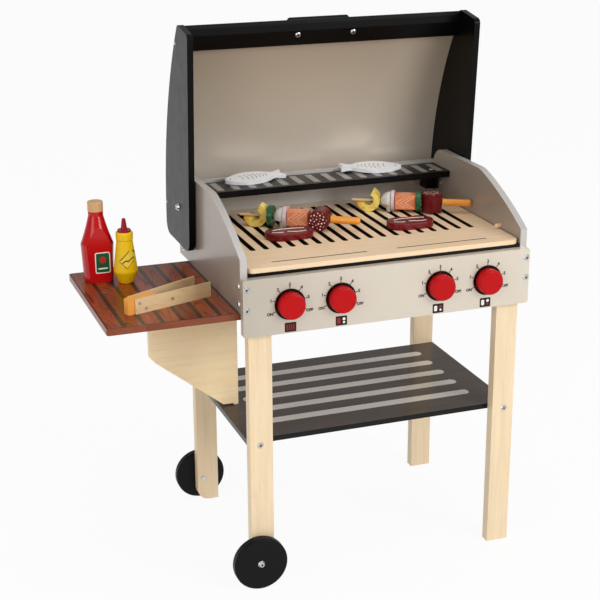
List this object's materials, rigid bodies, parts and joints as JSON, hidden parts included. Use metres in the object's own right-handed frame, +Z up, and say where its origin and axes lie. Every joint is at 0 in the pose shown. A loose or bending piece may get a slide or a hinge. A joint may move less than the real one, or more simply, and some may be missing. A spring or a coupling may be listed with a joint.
{
  "type": "toy barbecue grill",
  "caption": "Child's wooden barbecue on legs with wheels: hinged curved lid, slotted grate, turning knobs, upper rack, shelf, side table and loose play food.",
  "frame": {"origin": "middle of the whole object's footprint, on the floor", "axes": "+X to the right seen from the front, +Y from the control panel to the back, +Z up"},
  "size_m": [0.5616, 0.329, 0.6909],
  "materials": {
    "panel_silver": "silver lacquer",
    "body_taupe": "metallic lacquer",
    "black_paint": "satin paint",
    "bare_wood": "clear coat",
    "lid_paint": "gloss paint",
    "plank_print": "printed, clear coat",
    "knob_red": "gloss paint",
    "wheel_black": "satin paint",
    "zinc": "zinc plated",
    "ketchup_red": "gloss paint",
    "cap_tan": "clear coat",
    "mustard_yellow": "gloss paint",
    "nozzle_red": "gloss paint",
    "tongs_orange": "gloss paint",
    "blade_silver": "silver lacquer",
    "fish_white": "gloss paint",
    "steak_red": "gloss paint",
    "stick_orange": "clear coat",
    "shrimp_yellow": "gloss paint",
    "ring_green": "gloss paint",
    "mushroom_grey": "gloss paint",
    "salmon_orange": "gloss paint",
    "salami_red": "gloss paint"
  },
  "bodies": {
    "cabinet": {"back_panel": "body_taupe", "fire_tray": "black_paint", "front_panel": "panel_silver", "grate": "bare_wood", "grate_pegs": "bare_wood", "knob_bezels": "black_paint", "knob_clips": "zinc", "leg_front_left": "bare_wood", "leg_front_right": "bare_wood", "leg_rear_left": "bare_wood", "leg_rear_right": "bare_wood", "pivot_bolts": "zinc", "rack_cleats": "black_paint", "shelf": "black_paint", "side_panel_left": "body_taupe", "side_panel_right": "body_taupe", "side_table": "plank_print", "table_bracket": "bare_wood", "upper_rack": "black_paint", "washers": "zinc", "wheel_axles": "zinc", "wood_dowels": "bare_wood", "wood_screws": "zinc"},
    "lid": {"lid_side_left": "lid_paint", "lid_side_right": "lid_paint", "lid_skin": "lid_paint", "lid_rail": "black_paint", "lid_handle_bar": "black_paint", "lid_handle_posts": "black_paint", "lid_screws": "zinc"},
    "knob_1": {"knob_1": "knob_red"},
    "knob_2": {"knob_2": "knob_red"},
    "knob_3": {"knob_3": "knob_red"},
    "knob_4": {"knob_4": "knob_red"},
    "wheel_front": {"wheel_front": "wheel_black"},
    "wheel_rear": {"wheel_rear": "wheel_black"},
    "ketchup": {"ketchup_bottle": "ketchup_red", "ketchup_cap": "cap_tan"},
    "mustard": {"mustard_bottle": "mustard_yellow", "mustard_nozzle": "nozzle_red"},
    "tongs": {"tongs_block": "tongs_orange", "tongs_blade_front": "blade_silver", "tongs_blade_back": "blade_silver", "tongs_rivets": "zinc"},
    "fish_1": {"fish_1": "fish_white"},
    "fish_2": {"fish_2": "fish_white"},
    "steak_1": {"steak_1": "steak_red"},
    "steak_2": {"steak_2": "steak_red"},
    "skewer_1": {"skewer_1_stick": "stick_orange", "skewer_1_shrimp": "shrimp_yellow", "skewer_1_rings": "ring_green", "skewer_1_mushroom": "mushroom_grey", "skewer_1_salmon": "salmon_orange", "skewer_1_salami": "salami_red"},
    "skewer_2": {"skewer_2_stick": "stick_orange", "skewer_2_shrimp": "shrimp_yellow", "skewer_2_rings": "ring_green", "skewer_2_mushroom": "mushroom_grey", "skewer_2_salmon": "salmon_orange", "skewer_2_salami": "salami_red"}
  },
  "joints": [
    {"name": "lid_hinge", "type": "hinge", "parent": "cabinet", "child": "lid", "pos_m": [0.07495, 0.09828, 0.447], "axis": [-1, 0, 0], "range_deg": [-80, 0]},
    {"name": "knob_1_turn", "type": "hinge", "parent": "cabinet", "child": "knob_1", "pos_m": [-0.05805, -0.15071, 0.3812], "axis": [0, -1, 0], "range_deg": [0, 225]},
    {"name": "knob_2_turn", "type": "hinge", "parent": "cabinet", "child": "knob_2", "pos_m": [0.00815, -0.15071, 0.3812], "axis": [0, -1, 0], "range_deg": [0, 225]},
    {"name": "knob_3_turn", "type": "hinge", "parent": "cabinet", "child": "knob_3", "pos_m": [0.14175, -0.15071, 0.3812], "axis": [0, -1, 0], "range_deg": [0, 225]},
    {"name": "knob_4_turn", "type": "hinge", "parent": "cabinet", "child": "knob_4", "pos_m": [0.20795, -0.15071, 0.3812], "axis": [0, -1, 0], "range_deg": [0, 225]},
    {"name": "wheel_front_spin", "type": "hinge", "parent": "cabinet", "child": "wheel_front", "pos_m": [-0.10005, -0.14772, 0.0355], "axis": [0, 1, 0], "continuous": true},
    {"name": "wheel_rear_spin", "type": "hinge", "parent": "cabinet", "child": "wheel_rear", "pos_m": [-0.10005, 0.13229, 0.0355], "axis": [0, 1, 0], "continuous": true},
    {"name": "ketchup_lift", "type": "slide", "parent": "cabinet", "child": "ketchup", "axis": [0, 0, 1], "range_m": [0, 0.25]},
    {"name": "mustard_lift", "type": "slide", "parent": "cabinet", "child": "mustard", "axis": [0, 0, 1], "range_m": [0, 0.25]},
    {"name": "tongs_lift", "type": "slide", "parent": "cabinet", "child": "tongs", "axis": [0, 0, 1], "range_m": [0, 0.25]},
    {"name": "fish_1_lift", "type": "slide", "parent": "cabinet", "child": "fish_1", "axis": [0, -0.6, 0.8], "range_m": [0, 0.16]},
    {"name": "fish_2_lift", "type": "slide", "parent": "cabinet", "child": "fish_2", "axis": [0, -0.6, 0.8], "range_m": [0, 0.16]},
    {"name": "steak_1_lift", "type": "slide", "parent": "cabinet", "child": "steak_1", "axis": [0, 0, 1], "range_m": [0, 0.25]},
    {"name": "steak_2_lift", "type": "slide", "parent": "cabinet", "child": "steak_2", "axis": [0, 0, 1], "range_m": [0, 0.25]},
    {"name": "skewer_1_lift", "type": "slide", "parent": "cabinet", "child": "skewer_1", "axis": [0, -0.9211, 0.3894], "range_m": [0, 0.25]},
    {"name": "skewer_2_lift", "type": "slide", "parent": "cabinet", "child": "skewer_2", "axis": [0, -0.9211, 0.3894], "range_m": [0, 0.25]}
  ]
}
